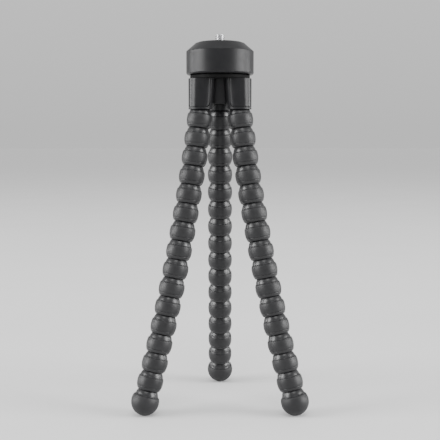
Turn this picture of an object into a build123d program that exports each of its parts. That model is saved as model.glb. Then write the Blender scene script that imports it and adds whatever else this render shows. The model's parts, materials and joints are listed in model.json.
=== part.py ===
"""Flexible leg tripod: a pan head on a three-socket hub, with three legs of ball-jointed beads.

Each leg is a string of fifteen beads and a foot. A bead has a socket under its domed top and a ball
below its hollow skirt, so the ball snaps into the next bead and the skirt slides over its dome.
Lengths are in millimetres and angles in degrees. Z is up and the feet stand on z = 0. The tripod's
own axis lies behind the front feet, so that the footprint is centred on the origin.
"""

import os
from math import asin, cos, degrees, radians, sin, sqrt

from build123d import *

# Leg beads
beads_per_leg = 15
bead_pitch = 12.5  # from one ball joint to the next
bead_radius = 8.5  # over the grip band
ball_radius = 3.3
ball_clearance = 0.1
neck_radius = 1.8
web_thickness = 1.2  # between a bead's socket and the hollow of its skirt
joint_gap = 0.3  # between a skirt and the dome that it slides over
lip_width = 0.6  # of the skirt's lower edge
lip_height = 0.5
tilt_angle = 20.0  # how far a ball joint bends each way
play_angle = 2.5  # left over at each end of that travel
skirt_angle = 57.0  # from a joint's axis out to the skirt's edge

# Grip band round each bead
grip_rise = 0.8  # from the joint up to the band's upper edge
grip_height = 6.6
grip_depth = 1.6
grip_crown = 0.4  # how far the band bulges
shoulder_step = 0.45  # from the band's crown in to the bead's own shoulder
grip_chamfer = 0.25
bond_gap = 0.04  # between pieces that are moulded or screwed together

# Feet
foot_radius = 9.2
foot_centre_drop = 3.2  # from the last joint down to the centre of the foot's ball
foot_core_height = 6.8
foot_edge_chamfer = 0.5

# Leg curve, measured from straight down at the hub to the foot
splay_top_angle = 8.5
splay_foot_angle = 17.0

# Hub
leg_circle_radius = 15.1  # from the tripod's axis to each hub joint
cuff_bottom_radius = 8.1
cuff_bottom_shift = 0.5  # how far a cuff's lower end lies in towards the axis from its joint
cuff_top_radius = 9.3
cuff_top_shift = 1.8  # the same of its upper end, so that its outer side is upright
cuff_height = 20.0
cover_thickness = 1.1
cover_gap = 0.1
cover_wrap = 2.8  # how far a cover reaches past its cuff's joint, towards the axis
cover_foot_height = 1.2  # bare rim of the hub under a cover
cover_corner_radius = 2.6
seam_width = 0.3
peg_radius = 1.4
peg_length = 1.6
column_radius = 9.2
column_floor_height = 3.6  # from the cuffs' lower edge up to the column's underside

# Ball studs in the hub
stud_guide_radius = 3.4
stud_guide_height = 2.4
stud_plug_radius = 4.4
stud_relief = 0.8  # from the hollow over the first bead up to the stud's guide
stud_gap = 0.1

# Top plate and its screws
plate_radius = 19.9
plate_thickness = 2.5
plate_chamfer = 0.4
screw_circle_radius = 6.3
screw_radius = 1.25
screw_head_radius = 2.3
screw_head_height = 1.4
screw_length = 9.0  # under its head's top
screw_depth = 8.0  # of its hole in the column
screw_count = 3
screw_start_angle = 30.0  # between two cuffs
screw_drive_radius = 0.8
screw_drive_depth = 0.7

# Pan joint
pan_bolt_radius = 2.5
pan_bolt_gap = 0.1
pan_head_radius = 4.4
pan_head_height = 2.4
pan_head_recess = 3.2
pan_head_gap = 0.3
pan_tip_chamfer = 0.5
pan_key_radius = 1.7
pan_key_depth = 1.5
pan_bolt_engagement = 9.0
washer_radius = 11.5
washer_thickness = 0.8

# Pan head
head_radius = 22.4
head_height = 20.7
head_gap = 0.5  # over the top plate
head_chamfer_width = 6.2
head_chamfer_height = 5.4
head_foot_chamfer = 0.8
head_wall = 2.6
head_deck = 5.0
boss_radius = 8.2
rib_thickness = 1.6
rib_count = 6
rib_drop = 9.0  # from the deck down to the ribs' lower edge

# Camera screw, 1/4 inch with 20 threads to the inch, and its pad
thread_radius = 3.175
thread_height = 5.2  # above the pad
thread_neck_radius = 2.6
thread_neck_height = 0.2  # of the plain neck that shows between the pad and the thread
thread_tip_chamfer = 0.7
hex_sides = 6
hex_flat_width = 11.1
hex_height = 4.0
hex_cover = 3.5  # of the deck over the hexagon
pad_radius = 14.5
pad_hole_radius = 3.8
pad_thickness = 1.6
pad_recess = 1.0
pad_chamfer = 0.4
pad_gap = 0.1

overrun = 1.0  # how far cutting tools run past a face

leg_azimuths = {"left": 210.0, "right": 330.0, "rear": 90.0}

# Sizes that follow from those above
socket_radius = ball_radius + ball_clearance
skirt_radius = bead_pitch - web_thickness - socket_radius
dome_radius = skirt_radius - joint_gap
grip_seat_radius = bead_radius - grip_depth
shoulder_radius = bead_radius - shoulder_step
grip_edge_radius = bead_radius - grip_crown
grip_floor = grip_height - grip_rise
units_per_leg = beads_per_leg + 1
unit_angles = [
    splay_top_angle + (splay_foot_angle - splay_top_angle) * unit / beads_per_leg
    for unit in range(units_per_leg)
]
bead_angles = unit_angles[:beads_per_leg]
hub_joint_height = (
    sum(bead_pitch * cos(radians(angle)) for angle in bead_angles)
    + foot_centre_drop * cos(radians(splay_foot_angle))
    + foot_radius
)
foot_circle_radius = (
    leg_circle_radius
    + sum(bead_pitch * sin(radians(angle)) for angle in bead_angles)
    + foot_centre_drop * sin(radians(splay_foot_angle))
)
axis_y = -foot_circle_radius / 4  # centres the three feet's footprint on the origin
skirt_height = skirt_radius * cos(radians(skirt_angle))
cuff_bottom = hub_joint_height + skirt_height
cuff_top = cuff_bottom + cuff_height
column_bottom = cuff_bottom + column_floor_height
stud_guide_bottom = hub_joint_height + skirt_radius + stud_relief
stud_seat = stud_guide_bottom + stud_guide_height
plate_top = cuff_top + plate_thickness
head_bottom = plate_top + head_gap
head_top = head_bottom + head_height
boss_bottom = plate_top + washer_thickness
pad_top = head_top - pad_recess + pad_thickness
hex_top = head_top - hex_cover
hex_bottom = hex_top - hex_height

axis_plane = Plane((0, axis_y, 0))
axis_line = Axis((0, axis_y, 0), (0, 0, 1))


def at_height(height):
    """The horizontal plane at a height, centred on the tripod's axis."""
    return axis_plane.offset(height)


def outward(azimuth):
    """The horizontal direction away from the tripod's axis."""
    return Vector(cos(radians(azimuth)), sin(radians(azimuth)), 0)


def on_polar(radius, angle):
    """A profile point at an angle from the profile's upward axis."""
    return (radius * sin(radians(angle)), radius * cos(radians(angle)))


def leg_planes(azimuth):
    """One plane for each bead and the foot: origin in its upper joint, normal up along the leg."""
    away = outward(azimuth)
    joint = Vector(0, axis_y, hub_joint_height) + away * leg_circle_radius
    planes = []
    for angle in unit_angles:
        down = away * sin(radians(angle)) - Vector(0, 0, 1) * cos(radians(angle))
        across = away * cos(radians(angle)) + Vector(0, 0, 1) * sin(radians(angle))
        planes.append(Plane(joint, x_dir=across, z_dir=-down))
        joint = joint + down * bead_pitch
    return planes


def profile_plane(plane):
    """The plane that holds a turned piece's profile: its X runs outward and its Y up the axis."""
    return Plane(plane.origin, x_dir=plane.x_dir, z_dir=-plane.y_dir)


def turning_axis(plane):
    """The line that a unit is turned about."""
    return Axis(plane.origin, plane.z_dir)


def socket_and_dome_lines():
    """The shared upper profile of a bead and a foot, from the socket's floor out to the shoulder."""
    inner_angle = tilt_angle + degrees(asin(neck_radius / socket_radius)) + play_angle
    outer_angle = tilt_angle + degrees(asin(neck_radius / dome_radius)) + play_angle
    end_angle = skirt_angle + tilt_angle + play_angle
    floor_angle = 180
    socket = ThreePointArc(
        on_polar(socket_radius, floor_angle),
        on_polar(socket_radius, (floor_angle + inner_angle) / 2),
        on_polar(socket_radius, inner_angle),
    )
    mouth = Line(socket @ 1, on_polar(dome_radius, outer_angle))
    dome = ThreePointArc(
        mouth @ 1,
        on_polar(dome_radius, (outer_angle + end_angle) / 2),
        on_polar(dome_radius, end_angle),
    )
    Line(dome @ 1, (shoulder_radius, grip_rise))


def draw_bead_core():
    """The profile of a bead's hard core: socket and dome above, hollow skirt, neck and ball below."""
    edge_radius, edge_rise = on_polar(skirt_radius, skirt_angle)
    edge_level = edge_rise - bead_pitch
    neck_angle = degrees(asin(neck_radius / skirt_radius))
    hollow_radius, hollow_rise = on_polar(skirt_radius, (neck_angle + skirt_angle) / 2)
    neck_top = sqrt(skirt_radius**2 - neck_radius**2) - bead_pitch
    neck_bottom = sqrt(ball_radius**2 - neck_radius**2) - bead_pitch
    socket_and_dome_lines()
    Polyline(
        (shoulder_radius, grip_rise),
        (grip_seat_radius, grip_rise),
        (grip_seat_radius, -grip_floor),
        (shoulder_radius, -grip_floor),
        (edge_radius + lip_width, edge_level + lip_height),
        (edge_radius, edge_level),
    )
    ThreePointArc(
        (edge_radius, edge_level),
        (hollow_radius, hollow_rise - bead_pitch),
        (neck_radius, neck_top),
    )
    Line((neck_radius, neck_top), (neck_radius, neck_bottom))
    ThreePointArc(
        (neck_radius, neck_bottom),
        (ball_radius, -bead_pitch),
        (0, -bead_pitch - ball_radius),
    )
    Line((0, -bead_pitch - ball_radius), (0, -socket_radius))


def draw_grip_band():
    """The profile of the soft band in a bead's groove, crowned, with its edges eased."""
    top = grip_rise - bond_gap
    bottom = bond_gap - grip_floor
    seat = grip_seat_radius + bond_gap
    side = grip_edge_radius - grip_chamfer
    Polyline(
        (grip_edge_radius, bottom + grip_chamfer),
        (side, bottom),
        (seat, bottom),
        (seat, top),
        (side, top),
        (grip_edge_radius, top - grip_chamfer),
    )
    ThreePointArc(
        (grip_edge_radius, top - grip_chamfer),
        (bead_radius, (top + bottom) / 2),
        (grip_edge_radius, bottom + grip_chamfer),
    )


def draw_foot_core():
    """The profile of a foot's hard core: a bead's socket and dome on a plug for the soft cap."""
    socket_and_dome_lines()
    Polyline(
        (shoulder_radius, grip_rise),
        (grip_seat_radius, grip_rise),
        (grip_seat_radius, grip_rise - foot_core_height),
        (0, grip_rise - foot_core_height),
        (0, -socket_radius),
    )


def draw_foot_cap():
    """The profile of the soft foot: a ball cut off under the shoulder and hollowed for the plug."""
    top = grip_rise - bond_gap
    cavity_floor = grip_rise - foot_core_height - bond_gap
    seat = grip_seat_radius + bond_gap
    rim_rise = foot_centre_drop + top - foot_edge_chamfer
    rim_radius = sqrt(foot_radius**2 - rim_rise**2)
    rim_angle = degrees(asin(rim_radius / foot_radius))
    lowest_angle = 180
    middle_radius, middle_rise = on_polar(foot_radius, (lowest_angle + rim_angle) / 2)
    ThreePointArc(
        (rim_radius, rim_rise - foot_centre_drop),
        (middle_radius, middle_rise - foot_centre_drop),
        (0, -foot_centre_drop - foot_radius),
    )
    Polyline(
        (0, -foot_centre_drop - foot_radius),
        (0, cavity_floor),
        (seat, cavity_floor),
        (seat, top),
        (rim_radius - foot_edge_chamfer, top),
        (rim_radius, rim_rise - foot_centre_drop),
    )


def turned_unit(plane, profiles):
    """A bead or a foot: each profile is turned about the unit's axis into a solid of its own."""
    with BuildPart() as unit:
        for draw_profile in profiles:
            with BuildSketch(profile_plane(plane)):
                with BuildLine():
                    draw_profile()
                make_face()
            revolve(axis=turning_axis(plane))
    return unit


def cuff_lobe(azimuth, inset):
    """One cuff of the hub as a leaning cone, upright on its outer side, thinner by an inset."""
    with BuildPart() as lobe:
        with BuildSketch(at_height(cuff_bottom)):
            with Locations(outward(azimuth) * (leg_circle_radius - cuff_bottom_shift)):
                Circle(cuff_bottom_radius - inset)
        with BuildSketch(at_height(cuff_top)):
            with Locations(outward(azimuth) * (leg_circle_radius - cuff_top_shift)):
                Circle(cuff_top_radius - inset)
        loft(ruled=True)
    return lobe.part


def cover_window(azimuth, inset):
    """The part of a cuff that its cover spans: a slab whose lower inner corner is rounded."""
    away = outward(azimuth)
    origin = Vector(0, axis_y, 0) + away * leg_circle_radius
    side_plane = Plane(origin, x_dir=away, z_dir=away.cross(Vector(0, 0, 1)))
    reach = cuff_top_radius + overrun
    inner_edge = -cover_wrap + inset
    lower_edge = cuff_bottom + cover_foot_height + inset
    with BuildPart() as window:
        with BuildSketch(side_plane):
            with BuildLine():
                FilletPolyline(
                    (inner_edge, cuff_top + overrun),
                    (inner_edge, lower_edge),
                    (reach, lower_edge),
                    radius=cover_corner_radius,
                )
                Polyline(
                    (reach, lower_edge),
                    (reach, cuff_top + overrun),
                    (inner_edge, cuff_top + overrun),
                )
            make_face()
        extrude(amount=reach, both=True)
    return window.part


def peg_plane(azimuth, depth):
    """A plane facing out of a cuff at half its height, at a depth under the cuff's outer side."""
    away = outward(azimuth)
    reach = leg_circle_radius - cuff_bottom_shift + cuff_bottom_radius - depth
    middle = Vector(0, axis_y, (cuff_bottom + cuff_top) / 2)
    return Plane(middle + away * reach, x_dir=Vector(0, 0, 1), z_dir=away)


def cuff_cover(azimuth):
    """The shell that clips round the outside of a cuff, with a peg into the hub."""
    whole = cuff_lobe(azimuth, 0)
    heart = cuff_lobe(azimuth, cover_thickness)
    window = cover_window(azimuth, seam_width)
    with BuildPart() as cover:
        add(whole)
        add(heart, mode=Mode.SUBTRACT)
        add(window, mode=Mode.INTERSECT)
        with BuildSketch(peg_plane(azimuth, cover_thickness / 2)):
            Circle(peg_radius)
        extrude(amount=-(peg_length + cover_thickness / 2))
    return cover


def hub():
    """The hub's one-piece body: three cuffs round a column, with seats for studs, screws and bolt."""
    with BuildPart() as body:
        with BuildSketch(at_height(column_bottom)):
            Circle(column_radius)
        extrude(amount=cuff_top - column_bottom)
        for azimuth in leg_azimuths.values():
            rim = cuff_lobe(azimuth, -overrun)
            heart = cuff_lobe(azimuth, cover_thickness + cover_gap)
            window = cover_window(azimuth, 0)
            with BuildPart(mode=Mode.PRIVATE) as groove:
                add(rim)
                add(heart, mode=Mode.SUBTRACT)
                add(window, mode=Mode.INTERSECT)
            add(cuff_lobe(azimuth, 0))
            add(groove.part, mode=Mode.SUBTRACT)
            with BuildSketch(peg_plane(azimuth, cover_thickness)):
                Circle(peg_radius + cover_gap)
            extrude(amount=-(peg_length + cover_gap), mode=Mode.SUBTRACT)
            joint = Vector(0, axis_y, hub_joint_height) + outward(azimuth) * leg_circle_radius
            with Locations(joint):
                Sphere(skirt_radius, mode=Mode.SUBTRACT)
            with BuildSketch(Plane(joint)):
                Circle(stud_guide_radius + stud_gap)
            extrude(amount=cuff_top - hub_joint_height, mode=Mode.SUBTRACT)
            with BuildSketch(Plane((joint.X, joint.Y, stud_seat))):
                Circle(stud_plug_radius + stud_gap)
            extrude(amount=cuff_top - stud_seat, mode=Mode.SUBTRACT)
        with BuildSketch(at_height(cuff_top)):
            with PolarLocations(screw_circle_radius, screw_count, start_angle=screw_start_angle):
                Circle(screw_radius)
        extrude(amount=-screw_depth, mode=Mode.SUBTRACT)
        with BuildSketch(at_height(column_bottom)):
            Circle(pan_bolt_radius + pan_bolt_gap)
        extrude(amount=cuff_top - column_bottom, mode=Mode.SUBTRACT)
        with BuildSketch(at_height(column_bottom)):
            Circle(pan_head_radius + pan_head_gap)
        extrude(amount=pan_head_recess, mode=Mode.SUBTRACT)
    return body


def stud_profile():
    """Half the outline of a ball stud, from its ball up to its plug under the top plate."""
    neck_level = sqrt(ball_radius**2 - neck_radius**2)
    guide_level = stud_guide_bottom - hub_joint_height
    seat_level = stud_seat - hub_joint_height
    top_level = cuff_top - hub_joint_height
    ThreePointArc((0, -ball_radius), (ball_radius, 0), (neck_radius, neck_level))
    Polyline(
        (neck_radius, neck_level),
        (neck_radius, guide_level),
        (stud_guide_radius, guide_level),
        (stud_guide_radius, seat_level),
        (stud_plug_radius, seat_level),
        (stud_plug_radius, top_level),
        (0, top_level),
        (0, -ball_radius),
    )


def screw_body():
    """One top plate screw about its own axis, its head's top on the plane z = 0."""
    with BuildPart() as screw:
        Cylinder(screw_head_radius, screw_head_height, align=(Align.CENTER, Align.CENTER, Align.MAX))
        Cylinder(screw_radius, screw_length, align=(Align.CENTER, Align.CENTER, Align.MAX))
        with BuildSketch():
            RegularPolygon(screw_drive_radius, side_count=hex_sides)
        extrude(amount=-screw_drive_depth, mode=Mode.SUBTRACT)
    return screw.part


os.makedirs("parts", exist_ok=True)

# Legs: three chains of beads, each with a foot at its end
for leg_name, leg_azimuth in leg_azimuths.items():
    for number, unit_plane in enumerate(leg_planes(leg_azimuth), start=1):
        if number <= beads_per_leg:
            unit = turned_unit(unit_plane, [draw_bead_core, draw_grip_band])
            unit.part.label = f"leg_{leg_name}_bead_{number:02d}"
        else:
            unit = turned_unit(unit_plane, [draw_foot_core, draw_foot_cap])
            unit.part.label = f"leg_{leg_name}_foot"
        export_step(unit.part, f"parts/{unit.part.label}.step")

# Hub body
hub_body = hub()
hub_body.part.label = "hub_body"
export_step(hub_body.part, "parts/hub_body.step")

# Cuff covers
for leg_name, leg_azimuth in leg_azimuths.items():
    cover = cuff_cover(leg_azimuth)
    cover.part.label = f"cuff_cover_{leg_name}"
    export_step(cover.part, f"parts/{cover.part.label}.step")

# Ball studs, one over each leg
with BuildPart() as leg_ball_studs:
    for leg_azimuth in leg_azimuths.values():
        stud_axis = Plane(
            Vector(0, axis_y, hub_joint_height) + outward(leg_azimuth) * leg_circle_radius
        )
        with BuildSketch(profile_plane(stud_axis)):
            with BuildLine():
                stud_profile()
            make_face()
        revolve(axis=turning_axis(stud_axis))
leg_ball_studs.part.label = "leg_ball_studs"
export_step(leg_ball_studs.part, "parts/leg_ball_studs.step")

# Top plate, over the studs, with the pan bolt's hole and three countersunk seats for its screws
with BuildPart() as hub_top_plate:
    with BuildSketch(at_height(cuff_top)):
        Circle(plate_radius)
    extrude(amount=plate_thickness)
    chamfer(hub_top_plate.edges(), length=plate_chamfer)
    with BuildSketch(at_height(cuff_top)):
        Circle(pan_bolt_radius + pan_bolt_gap)
        with PolarLocations(screw_circle_radius, screw_count, start_angle=screw_start_angle):
            Circle(screw_radius + stud_gap)
    extrude(amount=plate_thickness, mode=Mode.SUBTRACT)
    with BuildSketch(at_height(plate_top)):
        with PolarLocations(screw_circle_radius, screw_count, start_angle=screw_start_angle):
            Circle(screw_head_radius + stud_gap)
    extrude(amount=-screw_head_height, mode=Mode.SUBTRACT)
hub_top_plate.part.label = "hub_top_plate"
export_step(hub_top_plate.part, "parts/hub_top_plate.step")

# Screws that hold the top plate on the hub's column
with BuildPart(at_height(plate_top)) as top_plate_screws:
    with PolarLocations(screw_circle_radius, screw_count, start_angle=screw_start_angle):
        add(screw_body())
top_plate_screws.part.label = "top_plate_screws"
export_step(top_plate_screws.part, "parts/top_plate_screws.step")

# Pan bolt: its head turns in the column's underside and its end is screwed into the head's boss
pan_head_top = column_bottom + pan_head_recess
with BuildPart() as pan_bolt:
    with BuildSketch(at_height(pan_head_top)):
        Circle(pan_bolt_radius)
    extrude(amount=boss_bottom + pan_bolt_engagement - pan_head_top)
    chamfer(pan_bolt.faces().sort_by(Axis.Z)[-1].edges(), length=pan_tip_chamfer)
    with BuildSketch(at_height(pan_head_top)):
        Circle(pan_head_radius)
    extrude(amount=-pan_head_height)
    with BuildSketch(at_height(pan_head_top - pan_head_height)):
        RegularPolygon(pan_key_radius, side_count=hex_sides)
    extrude(amount=pan_key_depth, mode=Mode.SUBTRACT)
pan_bolt.part.label = "pan_bolt"
export_step(pan_bolt.part, "parts/pan_bolt.step")

# Friction washer between the top plate and the head's boss
with BuildPart() as pan_friction_washer:
    with BuildSketch(at_height(plate_top)):
        Circle(washer_radius)
        Circle(pan_bolt_radius + pan_bolt_gap, mode=Mode.SUBTRACT)
    extrude(amount=washer_thickness)
pan_friction_washer.part.label = "pan_friction_washer"
export_step(pan_friction_washer.part, "parts/pan_friction_washer.step")

# Pan head: a chamfered cap with a deck, a wall, a central boss and ribs between them
deck_bottom = head_top - head_deck
with BuildPart() as pan_head:
    with BuildSketch(profile_plane(axis_plane)):
        with BuildLine():
            Polyline(
                (0, deck_bottom),
                (head_radius - head_wall, deck_bottom),
                (head_radius - head_wall, head_bottom),
                (head_radius - head_foot_chamfer, head_bottom),
                (head_radius, head_bottom + head_foot_chamfer),
                (head_radius, head_top - head_chamfer_height),
                (head_radius - head_chamfer_width, head_top),
                (0, head_top),
                (0, deck_bottom),
            )
        make_face()
    revolve(axis=axis_line)
    with BuildSketch(at_height(boss_bottom)):
        Circle(boss_radius)
    extrude(amount=deck_bottom - boss_bottom)
    with BuildSketch(at_height(deck_bottom)):
        with PolarLocations(0, rib_count):
            Rectangle(head_radius - head_wall / 2, rib_thickness, align=(Align.MIN, Align.CENTER))
    extrude(amount=-rib_drop)
    with BuildSketch(at_height(boss_bottom)):
        Circle(pan_bolt_radius + bond_gap)
    extrude(amount=pan_bolt_engagement + bond_gap, mode=Mode.SUBTRACT)
    with BuildSketch(at_height(hex_bottom - bond_gap)):
        RegularPolygon(hex_flat_width / 2 + bond_gap, side_count=hex_sides, major_radius=False)
    extrude(amount=hex_height + 2 * bond_gap, mode=Mode.SUBTRACT)
    with BuildSketch(at_height(head_top)):
        Circle(thread_neck_radius + bond_gap)
    extrude(amount=-hex_cover, mode=Mode.SUBTRACT)
    with BuildSketch(at_height(head_top)):
        Circle(pad_radius + pad_gap)
    extrude(amount=-pad_recess, mode=Mode.SUBTRACT)
pan_head.part.label = "pan_head"
export_step(pan_head.part, "parts/pan_head.step")

# Camera screw, its hexagon moulded into the deck
with BuildPart() as camera_screw:
    with BuildSketch(at_height(hex_bottom)):
        RegularPolygon(hex_flat_width / 2, side_count=hex_sides, major_radius=False)
    extrude(amount=hex_height)
    with BuildSketch(at_height(hex_top)):
        Circle(thread_neck_radius)
    extrude(amount=pad_top + thread_neck_height - hex_top)
    with BuildSketch(at_height(pad_top + thread_neck_height)):
        Circle(thread_radius)
    extrude(amount=thread_height - thread_neck_height)
    chamfer(camera_screw.faces().sort_by(Axis.Z)[-1].edges(), length=thread_tip_chamfer)
camera_screw.part.label = "camera_screw"
export_step(camera_screw.part, "parts/camera_screw.step")

# Camera pad in the deck's shallow recess
with BuildPart() as camera_pad:
    with BuildSketch(at_height(head_top - pad_recess)):
        Circle(pad_radius)
        Circle(pad_hole_radius, mode=Mode.SUBTRACT)
    extrude(amount=pad_thickness)
    top_edges = camera_pad.faces().sort_by(Axis.Z)[-1].edges()
    chamfer(top_edges, length=pad_chamfer)
camera_pad.part.label = "camera_pad"
export_step(camera_pad.part, "parts/camera_pad.step")
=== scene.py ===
"""Looks of the flexible leg tripod: beads, feet, hub, pan head and camera screw, in a soft studio."""

import json
from math import acos, asin, cos, degrees, pi, radians, sin, sqrt, tan

import bmesh
import bpy
from mathutils import Matrix, Vector


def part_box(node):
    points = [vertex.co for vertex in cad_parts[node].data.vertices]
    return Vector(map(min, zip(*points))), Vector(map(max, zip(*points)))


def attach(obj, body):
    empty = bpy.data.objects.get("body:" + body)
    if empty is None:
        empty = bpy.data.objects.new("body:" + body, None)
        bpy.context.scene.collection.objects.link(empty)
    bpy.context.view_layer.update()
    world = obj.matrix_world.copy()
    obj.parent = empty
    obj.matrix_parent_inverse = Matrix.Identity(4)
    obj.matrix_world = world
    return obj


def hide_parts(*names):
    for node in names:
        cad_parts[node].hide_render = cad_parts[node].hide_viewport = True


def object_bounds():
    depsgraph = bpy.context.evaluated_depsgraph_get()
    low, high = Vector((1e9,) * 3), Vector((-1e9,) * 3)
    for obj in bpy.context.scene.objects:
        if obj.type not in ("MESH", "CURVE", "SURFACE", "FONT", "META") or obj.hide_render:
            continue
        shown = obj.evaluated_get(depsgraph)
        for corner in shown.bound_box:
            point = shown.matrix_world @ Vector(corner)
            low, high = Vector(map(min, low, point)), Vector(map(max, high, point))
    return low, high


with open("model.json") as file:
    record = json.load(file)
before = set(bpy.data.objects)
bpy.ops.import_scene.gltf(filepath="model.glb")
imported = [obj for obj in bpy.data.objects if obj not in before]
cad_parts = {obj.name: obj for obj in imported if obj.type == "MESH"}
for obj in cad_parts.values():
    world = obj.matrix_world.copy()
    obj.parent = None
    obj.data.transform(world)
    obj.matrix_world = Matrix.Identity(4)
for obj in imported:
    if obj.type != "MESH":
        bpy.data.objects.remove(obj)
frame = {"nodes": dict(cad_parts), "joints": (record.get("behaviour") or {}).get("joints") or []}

cad_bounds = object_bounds()
MM = 0.001

# Sizes in millimetres and angles in degrees, as the solids have them
bead_pitch = 12.5
bead_radius = 8.5
ball_radius = 3.3
socket_radius = 3.4
neck_radius = 1.8
skirt_radius = 7.9
dome_radius = 7.6
skirt_angle = 57.0
mouth_angle = 22.5  # over the neck's own angle
dome_end_angle = 79.5
lip_width = 0.6
lip_height = 0.5
shoulder_radius = 8.05
grip_seat_radius = 6.9
grip_edge_radius = 8.1
grip_rise = 0.8
grip_floor = 5.8
bond_gap = 0.04
foot_radius = 9.2
foot_centre_drop = 3.2
foot_core_height = 6.8
foot_edge_chamfer = 0.5
unit_segments = 64
edge_softness = 0.18  # radius of the eased edges on beads, on feet and inside the head
socket_steps = 9
ball_steps = 9
dome_steps = 8
skirt_steps = 8
grip_steps = 8
cap_steps = 16
taper_steps = 4
taper_crown = 0.12  # how far the shell's lower face curves out

cuff_bottom_radius = 8.1
cuff_bottom_shift = 0.5
cuff_top_radius = 9.3
cuff_top_shift = 1.8
cover_thickness = 1.1
cover_wrap = 2.8
cover_foot_height = 1.2
cover_corner_radius = 2.6
cover_edge_softness = 0.28
cover_edge_steps = 3
seam_width = 0.3
peg_radius = 1.4
peg_length = 1.6
peg_segments = 24
corner_steps = 8
cover_rows = 10
cover_columns = 40

head_chamfer_width = 6.2
head_chamfer_height = 5.4
head_foot_chamfer = 0.8
head_wall = 2.6
head_deck = 5.0
head_boss_rise = 0.3  # from the wall's lower edge up to the boss
head_softness = 0.7
head_softness_steps = 5
head_segments = 128
boss_radius = 8.2
rib_thickness = 1.6
rib_count = 6
rib_drop = 9.0
rib_overlap = 0.2  # into the boss, the wall and the deck
pan_bolt_radius = 2.5
hex_room_radius = 6.5
hex_corner = 6.4
hex_height = 4.0
hex_cover = 3.5
hex_sides = 6
pad_radius = 14.5
pad_hole_radius = 3.8
pad_recess = 1.0
pad_gap = 0.1
pad_softness = 0.15
pad_ring_count = 7
pad_ring_width = 0.7
pad_ring_depth = 0.3

thread_radius = 3.175
thread_neck_radius = 2.6
thread_neck_height = 0.2
thread_pitch = 1.27
thread_depth = 0.62
thread_crest_share = 0.14
thread_root_share = 0.16
thread_rows_per_turn = 14
thread_segments = 48
thread_tip_chamfer = 0.7

# Limits of the outlines and meshes
shortest_side = 0.000001
on_axis = 0.00001  # a point nearer than this lies on the axis
least_turn = 14.0  # degrees, under which a corner stays as it is
largest_reach = 0.45  # of a side, that an eased corner takes
easing_steps = 3
sharp_angle = 40.0

leg_names = ("left", "right", "rear")
joints = {joint["name"]: joint for joint in frame["joints"]}
hub_y = joints["pan_joint"]["pos_m"][1]
hub_low, hub_high = (corner.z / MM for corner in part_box("hub_body"))
head_low, head_high = (corner.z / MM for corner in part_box("pan_head"))
head_radius = (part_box("pan_head")[1].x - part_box("pan_head")[0].x) / 2 / MM
pad_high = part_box("camera_pad")[1].z / MM
screw_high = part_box("camera_screw")[1].z / MM


# Profiles: lists of (radius, height) in millimetres, walked round the section

def on_polar(radius, angle):
    """A point at an angle from the upward axis."""
    return (radius * sin(radians(angle)), radius * cos(radians(angle)))


def polar_arc(radius, start, end, steps, centre=0.0):
    """Points along an arc about a centre on the axis, both ends included."""
    points = []
    for step in range(steps + 1):
        out, up = on_polar(radius, start + (end - start) * step / steps)
        points.append((max(out, 0.0), up + centre))
    return points


def eased(points, radius, steps=easing_steps):
    """The same outline with each sharp corner rounded."""
    result = [points[0]]
    for before, here, after in zip(points, points[1:], points[2:]):
        to_before = Vector(before) - Vector(here)
        to_after = Vector(after) - Vector(here)
        shorter = min(to_before.length, to_after.length)
        if shorter < shortest_side:
            continue
        inner = to_before.angle(to_after)
        if degrees(pi - inner) < least_turn:
            result.append(here)
            continue
        reach = min(radius / tan(inner / 2), shorter * largest_reach)
        start = Vector(here) + to_before.normalized() * reach
        end = Vector(here) + to_after.normalized() * reach
        for step in range(steps + 1):
            share = step / steps
            curve = start * (1 - share) ** 2 + Vector(here) * 2 * share * (1 - share) + end * share**2
            result.append((curve.x, curve.y))
    result.append(points[-1])
    return result


def crowned(start, end, bulge, steps):
    """A shallow arc between two points, bulging to the walker's right for a positive bulge."""
    start, end = Vector(start), Vector(end)
    normal = Vector((end.y - start.y, start.x - end.x)).normalized()
    points = []
    for step in range(steps + 1):
        share = step / steps
        points.append(tuple(start.lerp(end, share) + normal * bulge * 4 * share * (1 - share)))
    return points


# Meshes

def mesh_object(name, mesh):
    piece = bpy.data.objects.new(name, mesh)
    bpy.context.scene.collection.objects.link(piece)
    return piece


def lathe(builder, outline, segments, slot=0, closed=False):
    """Turns an outline about the Z axis into a bmesh; points on the axis become single vertices."""
    rings = []
    for out, up in outline:
        if out < on_axis:
            rings.append([builder.verts.new((0, 0, up * MM))] * segments)
            continue
        ring = []
        for segment in range(segments):
            angle = 2 * pi * segment / segments
            ring.append(builder.verts.new((out * cos(angle) * MM, out * sin(angle) * MM, up * MM)))
        rings.append(ring)
    pairs = list(zip(rings, rings[1:]))
    if closed:
        pairs.append((rings[-1], rings[0]))
    faces = []
    for lower, upper in pairs:
        for segment in range(segments):
            after = (segment + 1) % segments
            around = (lower[segment], lower[after], upper[after], upper[segment])
            corners = list(dict.fromkeys(around))
            if len(corners) > 2:
                face = builder.faces.new(corners)
                face.material_index = slot
                face.smooth = True
                faces.append(face)
    bmesh.ops.recalc_face_normals(builder, faces=faces)


def finished_mesh(name, builder, materials):
    mesh = bpy.data.meshes.new(name)
    builder.to_mesh(mesh)
    builder.free()
    for item in materials:
        mesh.materials.append(item)
    return mesh


def turned_mesh(name, parts, segments, materials):
    """A mesh of one or more turned solids; each part is (outline, material slot, closed)."""
    builder = bmesh.new()
    for outline, slot, closed in parts:
        lathe(builder, outline, segments, slot, closed)
    return finished_mesh(name, builder, materials)


def keep_flats_flat(piece):
    """Weights the normals by face size, so that wide faces shade flat."""
    piece.modifiers.new("normals", "WEIGHTED_NORMAL").keep_sharp = True


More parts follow.
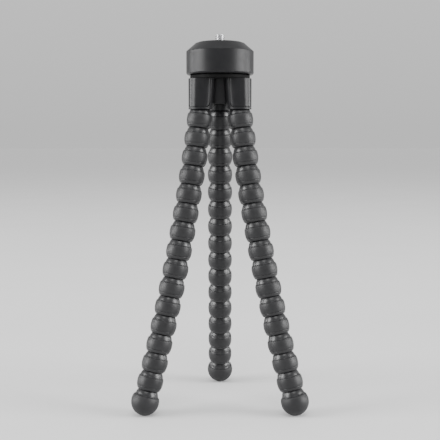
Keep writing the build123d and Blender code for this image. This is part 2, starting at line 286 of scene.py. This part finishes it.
def ease_edges(piece, width, steps):
    """Rounds a piece's sharp edges and keeps its flats flat."""
    bevel = piece.modifiers.new("eased", "BEVEL")
    bevel.width = width * MM
    bevel.segments = steps
    bevel.limit_method = "ANGLE"
    bevel.angle_limit = radians(sharp_angle)
    keep_flats_flat(piece)


# Materials

# Noise values between these two are spread over the whole range
noise_low = 0.3
noise_high = 0.7

# Noises as scale, detail and roughness
mottle_noise = (110.0, 5.0, 0.6)
handling_noise = (260.0, 6.0, 0.65)
grain_detail = 3.0
grain_roughness = 0.6
steel_tone_noise = (300.0, 5.0, 0.6)
steel_wear_scale = 700.0


class Nodes:
    """A short way to build one material's nodes."""

    def __init__(self, name):
        self.material = bpy.data.materials.new(name)
        self.material.use_nodes = True
        self.tree = self.material.node_tree
        self.shader = self.tree.nodes["Principled BSDF"]
        coordinates = self.tree.nodes.new("ShaderNodeTexCoord")
        self.place = coordinates.outputs["Object"]

    def add(self, kind, **settings):
        node = self.tree.nodes.new(kind)
        for key, value in settings.items():
            setattr(node, key, value)
        return node

    def join(self, source, target):
        self.tree.links.new(source, target)

    def noise(self, scale, detail=4.0, roughness=0.55):
        node = self.add("ShaderNodeTexNoise")
        node.inputs["Scale"].default_value = scale
        node.inputs["Detail"].default_value = detail
        node.inputs["Roughness"].default_value = roughness
        self.join(self.place, node.inputs["Vector"])
        return node.outputs["Fac"]

    def ranged(self, source, low, high):
        node = self.add("ShaderNodeMapRange")
        node.inputs["From Min"].default_value = noise_low
        node.inputs["From Max"].default_value = noise_high
        node.inputs["To Min"].default_value = low
        node.inputs["To Max"].default_value = high
        self.join(source, node.inputs["Value"])
        return node.outputs["Result"]

    def mixed(self, factor, first, second):
        node = self.add("ShaderNodeMix", data_type="RGBA")
        self.join(factor, node.inputs["Factor"])
        for socket, colour in (("A", first), ("B", second)):
            target = [item for item in node.inputs if item.name == socket and item.type == "RGBA"][0]
            target.default_value = (*colour, 1.0)
        return [item for item in node.outputs if item.type == "RGBA"][0]

    def bump(self, height, distance):
        node = self.add("ShaderNodeBump")
        node.inputs["Distance"].default_value = distance
        node.inputs["Strength"].default_value = 1.0
        self.join(height, node.inputs["Height"])
        return node.outputs["Normal"]


def moulded(name, dark, light, rough, grain_scale, grain_depth, specular):
    """Moulded plastic or rubber: a mottled colour, uneven gloss and a fine spark-eroded grain."""
    nodes = Nodes(name)
    shader = nodes.shader
    shader.inputs["Specular IOR Level"].default_value = specular
    mottle = nodes.ranged(nodes.noise(*mottle_noise), 0.0, 1.0)
    nodes.join(nodes.mixed(mottle, dark, light), shader.inputs["Base Color"])
    handling = nodes.noise(*handling_noise)
    nodes.join(nodes.ranged(handling, *rough), shader.inputs["Roughness"])
    grain = nodes.noise(grain_scale, grain_detail, grain_roughness)
    nodes.join(nodes.bump(grain, grain_depth), shader.inputs["Normal"])
    return nodes.material


def metal(name, dark, light, rough, grain_scale, grain_depth):
    """Turned or blackened steel with fine scratches."""
    nodes = Nodes(name)
    shader = nodes.shader
    shader.inputs["Metallic"].default_value = 1.0
    tone = nodes.ranged(nodes.noise(*steel_tone_noise), 0.0, 1.0)
    nodes.join(nodes.mixed(tone, dark, light), shader.inputs["Base Color"])
    nodes.join(nodes.ranged(nodes.noise(steel_wear_scale), *rough), shader.inputs["Roughness"])
    nodes.join(nodes.bump(nodes.noise(grain_scale), grain_depth), shader.inputs["Normal"])
    return nodes.material


shell_finish = moulded("bead_shell_finish", dark=(0.006, 0.006, 0.007), light=(0.010, 0.010, 0.011),
                       rough=(0.28, 0.38), grain_scale=3200.0, grain_depth=0.00002, specular=0.45)
grip_finish = moulded("grip_rubber_finish", dark=(0.009, 0.009, 0.010), light=(0.015, 0.015, 0.016),
                      rough=(0.40, 0.52), grain_scale=2600.0, grain_depth=0.00005, specular=0.34)
foot_finish = moulded("foot_rubber_finish", dark=(0.009, 0.009, 0.010), light=(0.015, 0.015, 0.016),
                      rough=(0.44, 0.58), grain_scale=2400.0, grain_depth=0.00006, specular=0.34)
head_finish = moulded("head_finish", dark=(0.005, 0.005, 0.006), light=(0.008, 0.008, 0.009),
                      rough=(0.36, 0.44), grain_scale=3600.0, grain_depth=0.000012, specular=0.26)
hub_finish = moulded("hub_finish", dark=(0.007, 0.007, 0.008), light=(0.011, 0.011, 0.012),
                     rough=(0.36, 0.48), grain_scale=3000.0, grain_depth=0.00002, specular=0.24)
# Painted shade: the top plate's base colour is darker than the other black plastics, so the groove
# under the head's rim looks shaded
plate_painted_shade_finish = moulded("plate_painted_shade_finish", dark=(0.003, 0.003, 0.003), light=(0.006, 0.006, 0.006),
                       rough=(0.66, 0.80), grain_scale=2600.0, grain_depth=0.00003, specular=0.10)
cover_finish = moulded("cover_finish", dark=(0.009, 0.009, 0.010), light=(0.013, 0.013, 0.014),
                       rough=(0.20, 0.28), grain_scale=3400.0, grain_depth=0.00002, specular=0.17)
pad_finish = moulded("pad_rubber_finish", dark=(0.016, 0.016, 0.016), light=(0.025, 0.025, 0.025),
                     rough=(0.58, 0.72), grain_scale=2200.0, grain_depth=0.00008, specular=0.5)
washer_finish = moulded("washer_finish", dark=(0.010, 0.010, 0.010), light=(0.016, 0.016, 0.016),
                        rough=(0.44, 0.56), grain_scale=2800.0, grain_depth=0.00002, specular=0.2)
steel_finish = metal("screw_steel_finish", dark=(0.52, 0.52, 0.53), light=(0.66, 0.66, 0.67),
                     rough=(0.20, 0.34), grain_scale=2600.0, grain_depth=0.00001)
black_steel_finish = metal("black_steel_finish", dark=(0.05, 0.05, 0.055), light=(0.09, 0.09, 0.095),
                           rough=(0.30, 0.45), grain_scale=2600.0, grain_depth=0.00001)


# Leg units

def socket_and_dome_outline():
    """From the socket's floor on the axis, out over the dome, to the shoulder."""
    inner_angle = mouth_angle + degrees(asin(neck_radius / socket_radius))
    outer_angle = mouth_angle + degrees(asin(neck_radius / dome_radius))
    return (
        polar_arc(socket_radius, 180.0, inner_angle, socket_steps)
        + polar_arc(dome_radius, outer_angle, dome_end_angle, dome_steps)
        + [(shoulder_radius, grip_rise)]
    )


def bead_shell_outline():
    """The shell of a bead, from its socket round the outside to the ball under its skirt."""
    edge_radius, edge_rise = on_polar(skirt_radius, skirt_angle)
    edge_level = edge_rise - bead_pitch
    neck_angle = degrees(asin(neck_radius / skirt_radius))
    ball_angle = degrees(asin(neck_radius / ball_radius))
    taper_foot = (edge_radius + lip_width, edge_level + lip_height)
    return (
        socket_and_dome_outline()
        + [
            (grip_seat_radius, grip_rise),
            (grip_seat_radius, -grip_floor),
            (shoulder_radius, -grip_floor),
        ]
        + crowned((shoulder_radius, -grip_floor), taper_foot, -taper_crown, taper_steps)[1:]
        + polar_arc(skirt_radius, skirt_angle, neck_angle, skirt_steps, -bead_pitch)
        + polar_arc(ball_radius, ball_angle, 180.0, ball_steps, -bead_pitch)
    )


def grip_outline():
    """The soft band round a bead, with a crowned face."""
    top = grip_rise - bond_gap
    bottom = bond_gap - grip_floor
    seat = grip_seat_radius + bond_gap
    crown = bead_radius - grip_edge_radius
    face = crowned((grip_edge_radius, bottom), (grip_edge_radius, top), crown, grip_steps)
    return [(seat, top), (seat, bottom)] + face


def foot_shell_outline():
    """The hard plug inside a foot, with the socket in its dome."""
    floor = grip_rise - foot_core_height
    return socket_and_dome_outline() + [
        (grip_seat_radius, grip_rise),
        (grip_seat_radius, floor),
        (0.0, floor),
    ]


def foot_cap_outline():
    """The soft cap round the plug: a ball, cut off flat at the top."""
    top = grip_rise - bond_gap
    cavity_floor = grip_rise - foot_core_height - bond_gap
    seat = grip_seat_radius + bond_gap
    rim_rise = foot_centre_drop + top - foot_edge_chamfer
    rim_angle = degrees(acos(rim_rise / foot_radius))
    ball = polar_arc(foot_radius, 180.0, rim_angle, cap_steps, -foot_centre_drop)
    rim_radius = ball[-1][0]
    return ball + [
        (rim_radius - foot_edge_chamfer, top),
        (seat, top),
        (seat, cavity_floor),
        (0.0, cavity_floor),
    ]


def closed_eased(points, radius):
    """A closed outline with every corner eased, the first one too."""
    middle = tuple((Vector(points[0]) + Vector(points[-1])) / 2)
    return eased([middle] + points + [middle], radius)[:-1]


bead_mesh = turned_mesh(
    "bead",
    [
        (eased(bead_shell_outline(), edge_softness), 0, False),
        (closed_eased(grip_outline(), edge_softness), 1, True),
    ],
    unit_segments,
    [shell_finish, grip_finish],
)
foot_mesh = turned_mesh(
    "foot",
    [
        (eased(foot_shell_outline(), edge_softness), 0, False),
        (eased(foot_cap_outline(), edge_softness), 1, False),
    ],
    unit_segments,
    [shell_finish, foot_finish],
)


def leg_joint_places(leg):
    """Where a leg's ball joints are, from the hub to the foot."""
    names = sorted(name for name in joints if name.startswith(f"leg_{leg}_joint_"))
    return [(joints[name]["child"], Vector(joints[name]["pos_m"])) for name in names]


def leg_frame(origin, up, out):
    """A matrix whose Z runs up a unit, with its X in the leg's own upright plane."""
    side = up.cross(out).normalized()
    across = side.cross(up).normalized()
    rotation = Matrix((across, side, up)).transposed()
    return Matrix.Translation(origin) @ rotation.to_4x4()


def unit_directions(points):
    """Each unit's upward direction; the foot bends on as far as the last bead does."""
    ups = [(here - after).normalized() for here, after in zip(points, points[1:])]
    foot_up = ups[-1].copy()
    foot_up.rotate(ups[-2].rotation_difference(ups[-1]))
    return ups + [foot_up]


def leg_pieces(leg):
    places = leg_joint_places(leg)
    points = [place for node, place in places]
    out = points[-1] - points[0]
    out.z = 0.0
    for (node, place), up in zip(places, unit_directions(points)):
        is_foot = node.endswith("_foot")
        mesh = (foot_mesh if is_foot else bead_mesh).copy()
        mesh.transform(leg_frame(place, up, out.normalized()))
        piece = mesh_object(f"{node}_dressed", mesh)
        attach(piece, node)
        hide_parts(node)


for leg in leg_names:
    leg_pieces(leg)


# Hub covers

def cover_outline(depth):
    """Rows of (outward, sideways, height) over a cover's face at a depth, from its foot upward."""
    bottom = hub_low + cover_foot_height + seam_width
    top = hub_high
    edge = -cover_wrap + seam_width
    rows = []
    for level in range(corner_steps + cover_rows + 1):
        if level <= corner_steps:
            rise = cover_corner_radius * (1 - cos(pi / 2 * level / corner_steps))
        else:
            share = (level - corner_steps) / cover_rows
            rise = cover_corner_radius + (top - bottom - cover_corner_radius) * share
        height = bottom + rise
        share_up = (height - hub_low) / (hub_high - hub_low)
        centre = -cuff_bottom_shift - (cuff_top_shift - cuff_bottom_shift) * share_up
        radius = cuff_bottom_radius + (cuff_top_radius - cuff_bottom_radius) * share_up
        below = max(cover_corner_radius - rise, 0.0)
        inner = edge + cover_corner_radius - sqrt(max(cover_corner_radius**2 - below**2, 0.0))
        widest = acos(max(-1.0, min(1.0, (inner - centre) / radius)))
        row = []
        for column in range(cover_columns + 1):
            angle = widest * (2 * column / cover_columns - 1)
            row.append((centre + (radius - depth) * cos(angle), (radius - depth) * sin(angle), height))
        rows.append(row)
    return rows


def cover_rim(skin):
    """The vertices round a skin's edge, as one loop."""
    far_side = [row[-1] for row in skin[1:]]
    near_side = [row[0] for row in skin[-2:0:-1]]
    return skin[0] + far_side + skin[-1][-2::-1] + near_side


def cover_shell(builder, place, out, side):
    """A cover's outer and inner skin, joined round their edges."""
    skins = []
    for depth in (0.0, cover_thickness):
        skins.append([
            [
                builder.verts.new(Vector((place.x, place.y, 0.0)) + out * away * MM
                                  + side * across * MM + Vector((0.0, 0.0, height * MM)))
                for away, across, height in row
            ]
            for row in cover_outline(depth)
        ])
    for flip, skin in enumerate(skins):
        for low_row, high_row in zip(skin, skin[1:]):
            for column in range(cover_columns):
                after = column + 1
                corners = [low_row[column], low_row[after], high_row[after], high_row[column]]
                builder.faces.new(corners[::-1] if flip else corners)
    rim_outer, rim_inner = (cover_rim(skin) for skin in skins)
    for here in range(len(rim_outer)):
        after = (here + 1) % len(rim_outer)
        builder.faces.new([rim_outer[here], rim_inner[here], rim_inner[after], rim_outer[after]])
    for face in builder.faces:
        face.smooth = True
    bmesh.ops.recalc_face_normals(builder, faces=builder.faces[:])


def cover_peg(builder, place, out, side):
    """The peg on a cover's inner face that holds it in the cuff."""
    peg = bmesh.ops.create_cone(builder, cap_ends=True, segments=peg_segments,
                                radius1=peg_radius * MM, radius2=peg_radius * MM,
                                depth=peg_length * MM)
    reach = cuff_bottom_radius - cuff_bottom_shift
    inward = Matrix((side, Vector((0.0, 0.0, 1.0)), out)).transposed().to_4x4()
    centre = place + out * (reach - cover_thickness - peg_length / 2) * MM
    centre.z = (hub_low + hub_high) / 2 * MM
    bmesh.ops.transform(builder, matrix=Matrix.Translation(centre) @ inward, verts=peg["verts"])


def cover_piece(leg):
    place = Vector(joints[f"leg_{leg}_joint_01"]["pos_m"])
    out = Vector((place.x, place.y - hub_y, 0.0)).normalized()
    side = Vector((-out.y, out.x, 0.0))
    builder = bmesh.new()
    cover_shell(builder, place, out, side)
    cover_peg(builder, place, out, side)
    piece = mesh_object(f"cuff_cover_{leg}_dressed", finished_mesh("cover", builder, [cover_finish]))
    ease_edges(piece, cover_edge_softness, cover_edge_steps)
    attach(piece, "hub")
    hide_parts(f"cuff_cover_{leg}")


for leg in leg_names:
    cover_piece(leg)


# Pan head, pad and camera screw

def about_axis(piece):
    """Puts a turned piece on the head's upright axis."""
    piece.matrix_world = Matrix.Translation((0.0, hub_y, 0.0))


def head_outlines():
    """The head's half section in two parts: its outside, then deck, boss and the wall's inside."""
    deck_bottom = head_high - head_deck
    boss_bottom = head_low + head_boss_rise
    hex_top = head_high - hex_cover
    recess = head_high - pad_recess
    wall = head_radius - head_wall
    corner_out = (head_radius, head_high - head_chamfer_height)
    corner_in = (head_radius - head_chamfer_width, head_high)
    outside = [
        (head_radius - head_foot_chamfer, head_low),
        (head_radius, head_low + head_foot_chamfer),
        corner_out,
        corner_in,
    ]
    top = [(pad_radius + pad_gap, head_high), (pad_radius + pad_gap, recess)]
    boss = [
        (thread_neck_radius, recess),
        (thread_neck_radius, hex_top),
        (hex_room_radius, hex_top),
        (hex_room_radius, hex_top - hex_height),
        (pan_bolt_radius, hex_top - hex_height),
        (pan_bolt_radius, boss_bottom),
        (boss_radius, boss_bottom),
        (boss_radius, deck_bottom),
    ]
    inside = [(wall, deck_bottom), (wall, head_low)]
    return outside, top + boss + inside


def head_ribs(builder):
    """Ribs between the boss and the wall, under the deck."""
    deck_bottom = head_high - head_deck
    length = head_radius - head_wall - boss_radius + 2 * rib_overlap
    size = Matrix.Diagonal((length * MM, rib_thickness * MM, rib_drop * MM, 1.0))
    place = Matrix.Translation(((boss_radius + length / 2 - rib_overlap) * MM, 0.0,
                                (deck_bottom - rib_drop / 2 + rib_overlap) * MM))
    for rib in range(rib_count):
        block = bmesh.ops.create_cube(builder, size=1.0)
        spin = Matrix.Rotation(2 * pi * rib / rib_count, 4, "Z")
        bmesh.ops.transform(builder, matrix=spin @ place @ size, verts=block["verts"])


def head_piece():
    outside, rest = head_outlines()
    softened = eased(outside + rest[:1], head_softness, head_softness_steps)[:-1]
    builder = bmesh.new()
    lathe(builder, closed_eased(softened + rest, edge_softness), head_segments, closed=True)
    head_ribs(builder)
    piece = mesh_object("pan_head_dressed", finished_mesh("pan_head", builder, [head_finish]))
    about_axis(piece)
    keep_flats_flat(piece)
    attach(piece, "pan_head")
    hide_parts("pan_head")


def pad_piece():
    """The camera pad, with shallow rings in its face for grip."""
    low_face = head_high - pad_recess
    top_face = pad_high
    outline = [(pad_hole_radius, low_face), (pad_radius, low_face), (pad_radius, top_face)]
    pitch = (pad_radius - pad_hole_radius) / (pad_ring_count + 1)
    for ring in range(pad_ring_count):
        out = pad_radius - pitch * (ring + 1)
        outline += [
            (out + pad_ring_width / 2, top_face),
            (out + pad_ring_width / 4, top_face - pad_ring_depth),
            (out - pad_ring_width / 4, top_face - pad_ring_depth),
            (out - pad_ring_width / 2, top_face),
        ]
    outline.append((pad_hole_radius, top_face))
    mesh = turned_mesh("camera_pad", [(closed_eased(outline, pad_softness), 0, True)], head_segments,
                       [pad_finish])
    piece = mesh_object("camera_pad_dressed", mesh)
    about_axis(piece)
    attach(piece, "pan_head")
    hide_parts("camera_pad")


def thread_depth_at(turn):
    """How far a thread's surface lies under its crest, at a share of a turn."""
    share = abs((turn % 1.0) - 0.5) * 2
    flank = (share - thread_crest_share) / (1 - thread_crest_share - thread_root_share)
    return thread_depth * max(0.0, min(1.0, flank))


def screw_thread(builder, foot):
    """A helical thread from the foot up to a chamfered tip, on a plain neck."""
    rows = int((screw_high - foot) / thread_pitch * thread_rows_per_turn)
    rings = []
    for row in range(rows + 1):
        height = foot + (screw_high - foot) * row / rows
        limit = thread_radius - max(0.0, thread_tip_chamfer - (screw_high - height))
        if height < pad_high + thread_neck_height:
            limit = thread_neck_radius
        ring = []
        for segment in range(thread_segments):
            turn = height / thread_pitch - segment / thread_segments
            radius = min(thread_radius - thread_depth_at(turn), limit)
            angle = 2 * pi * segment / thread_segments
            ring.append(builder.verts.new((radius * cos(angle) * MM, radius * sin(angle) * MM,
                                           height * MM)))
        rings.append(ring)
    for lower, upper in zip(rings, rings[1:]):
        for segment in range(thread_segments):
            after = (segment + 1) % thread_segments
            corners = [lower[segment], lower[after], upper[after], upper[segment]]
            builder.faces.new(corners).smooth = True
    for ring in (rings[0][::-1], rings[-1]):
        builder.faces.new(ring)


def screw_hexagon(builder, foot):
    """The hexagon under the thread, which the deck is moulded round."""
    hexagon = bmesh.ops.create_cone(builder, cap_ends=True, segments=hex_sides,
                                    radius1=hex_corner * MM, radius2=hex_corner * MM,
                                    depth=hex_height * MM)
    place = Matrix.Translation((0.0, 0.0, (foot - hex_height / 2) * MM))
    turn = Matrix.Rotation(pi / hex_sides, 4, "Z")
    bmesh.ops.transform(builder, matrix=place @ turn, verts=hexagon["verts"])


def screw_piece():
    foot = head_high - hex_cover
    builder = bmesh.new()
    screw_thread(builder, foot)
    screw_hexagon(builder, foot)
    piece = mesh_object("camera_screw_dressed", finished_mesh("camera_screw", builder, [steel_finish]))
    about_axis(piece)
    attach(piece, "pan_head")
    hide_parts("camera_screw")


head_piece()
pad_piece()
screw_piece()


# Finish of the solids that stay

def finish_node(node, material):
    piece = frame["nodes"][node]
    piece.data.materials.clear()
    piece.data.materials.append(material)


for node, finish in {
    "hub_body": hub_finish,
    "hub_top_plate": plate_painted_shade_finish,
    "leg_ball_studs": shell_finish,
    "pan_bolt": black_steel_finish,
    "top_plate_screws": black_steel_finish,
    "pan_friction_washer": washer_finish,
}.items():
    finish_node(node, finish)


# Stage, lights and camera

floor_radius = 60.0
floor_segments = 96
floor_dark = (0.70, 0.70, 0.70)
floor_light = (0.72, 0.72, 0.72)
floor_roughness = 0.75
floor_noise = (6.0, 3.0)
sky_overhead = 1.0
sky_at_horizon = 0.69
sky_low = 0.02  # rise of the direction under which the sky is as light as at the horizon
sky_high = 0.5  # rise of the direction over which it is as light as overhead
softbox_spread = 110.0  # narrow enough that no softbox draws its own edge on the floor
camera_distance = 0.61
camera_pitch = 4.8  # below the level
frame_fill = 0.82  # of the picture's height
sensor_width = 36.0
low, high = cad_bounds
middle = (Vector(low) + Vector(high)) / 2


def floor_finish():
    nodes = Nodes("floor_finish")
    tone = nodes.ranged(nodes.noise(*floor_noise), 0.0, 1.0)
    nodes.join(nodes.mixed(tone, floor_dark, floor_light), nodes.shader.inputs["Base Color"])
    nodes.shader.inputs["Roughness"].default_value = floor_roughness
    return nodes.material


def floor_disc():
    material = floor_finish()
    builder = bmesh.new()
    bmesh.ops.create_circle(builder, cap_ends=True, segments=floor_segments, radius=floor_radius)
    mesh_object("floor", finished_mesh("floor", builder, [material]))


def studio_sky():
    """A plain white backdrop, a little darker at the horizon than overhead."""
    world = bpy.data.worlds.new("studio")
    world.use_nodes = True
    sky = world.node_tree
    background = sky.nodes["Background"]
    direction = sky.nodes.new("ShaderNodeTexCoord")
    split = sky.nodes.new("ShaderNodeSeparateXYZ")
    lift = sky.nodes.new("ShaderNodeMapRange")
    lift.inputs["From Min"].default_value = sky_low
    lift.inputs["From Max"].default_value = sky_high
    lift.inputs["To Min"].default_value = sky_at_horizon
    lift.inputs["To Max"].default_value = sky_overhead
    sky.links.new(direction.outputs["Generated"], split.inputs["Vector"])
    sky.links.new(split.outputs["Z"], lift.inputs["Value"])
    sky.links.new(lift.outputs["Result"], background.inputs["Strength"])
    background.inputs["Color"].default_value = (1.0, 1.0, 1.0, 1.0)
    bpy.context.scene.world = world


def softbox(name, angle, distance, height, width, tall, power):
    """An area light that faces the tripod; the angle turns it about the object from the camera."""
    data = bpy.data.lights.new(name, "AREA")
    data.shape = "RECTANGLE"
    data.size = width
    data.size_y = tall
    data.energy = power
    data.spread = radians(softbox_spread)
    lamp = bpy.data.objects.new(name, data)
    bpy.context.scene.collection.objects.link(lamp)
    side = radians(angle)
    lamp.location = (sin(side) * distance, -cos(side) * distance, height)
    lamp.rotation_euler = (middle - lamp.location).to_track_quat("-Z", "Y").to_euler()


def softbox_pair(name, angle, **setting):
    """The same softbox to the left and to the right of the camera."""
    softbox(f"left_{name}", -angle, **setting)
    softbox(f"right_{name}", angle, **setting)


def front_camera():
    data = bpy.data.cameras.new("camera")
    data.sensor_width = sensor_width
    data.sensor_fit = "HORIZONTAL"
    visible_height = (high[2] - low[2]) / frame_fill
    data.lens = sensor_width * camera_distance / cos(radians(camera_pitch)) / visible_height
    camera = bpy.data.objects.new("camera", data)
    bpy.context.scene.collection.objects.link(camera)
    rise = camera_distance * tan(radians(camera_pitch))
    camera.location = (0.0, middle.y - camera_distance, middle.z + rise)
    camera.rotation_euler = (middle - camera.location).to_track_quat("-Z", "Y").to_euler()
    bpy.context.scene.camera = camera


floor_disc()
studio_sky()
softbox_pair("key", angle=76.0, distance=4.0, height=1.30, width=2.31, tall=2.44, power=98.0)
softbox_pair("rim", angle=108.0, distance=2.2, height=0.30, width=0.53, tall=0.53, power=4.0)
softbox("overhead", angle=0.0, distance=0.7, height=1.2, width=0.6, tall=0.6, power=2.0)
front_camera()
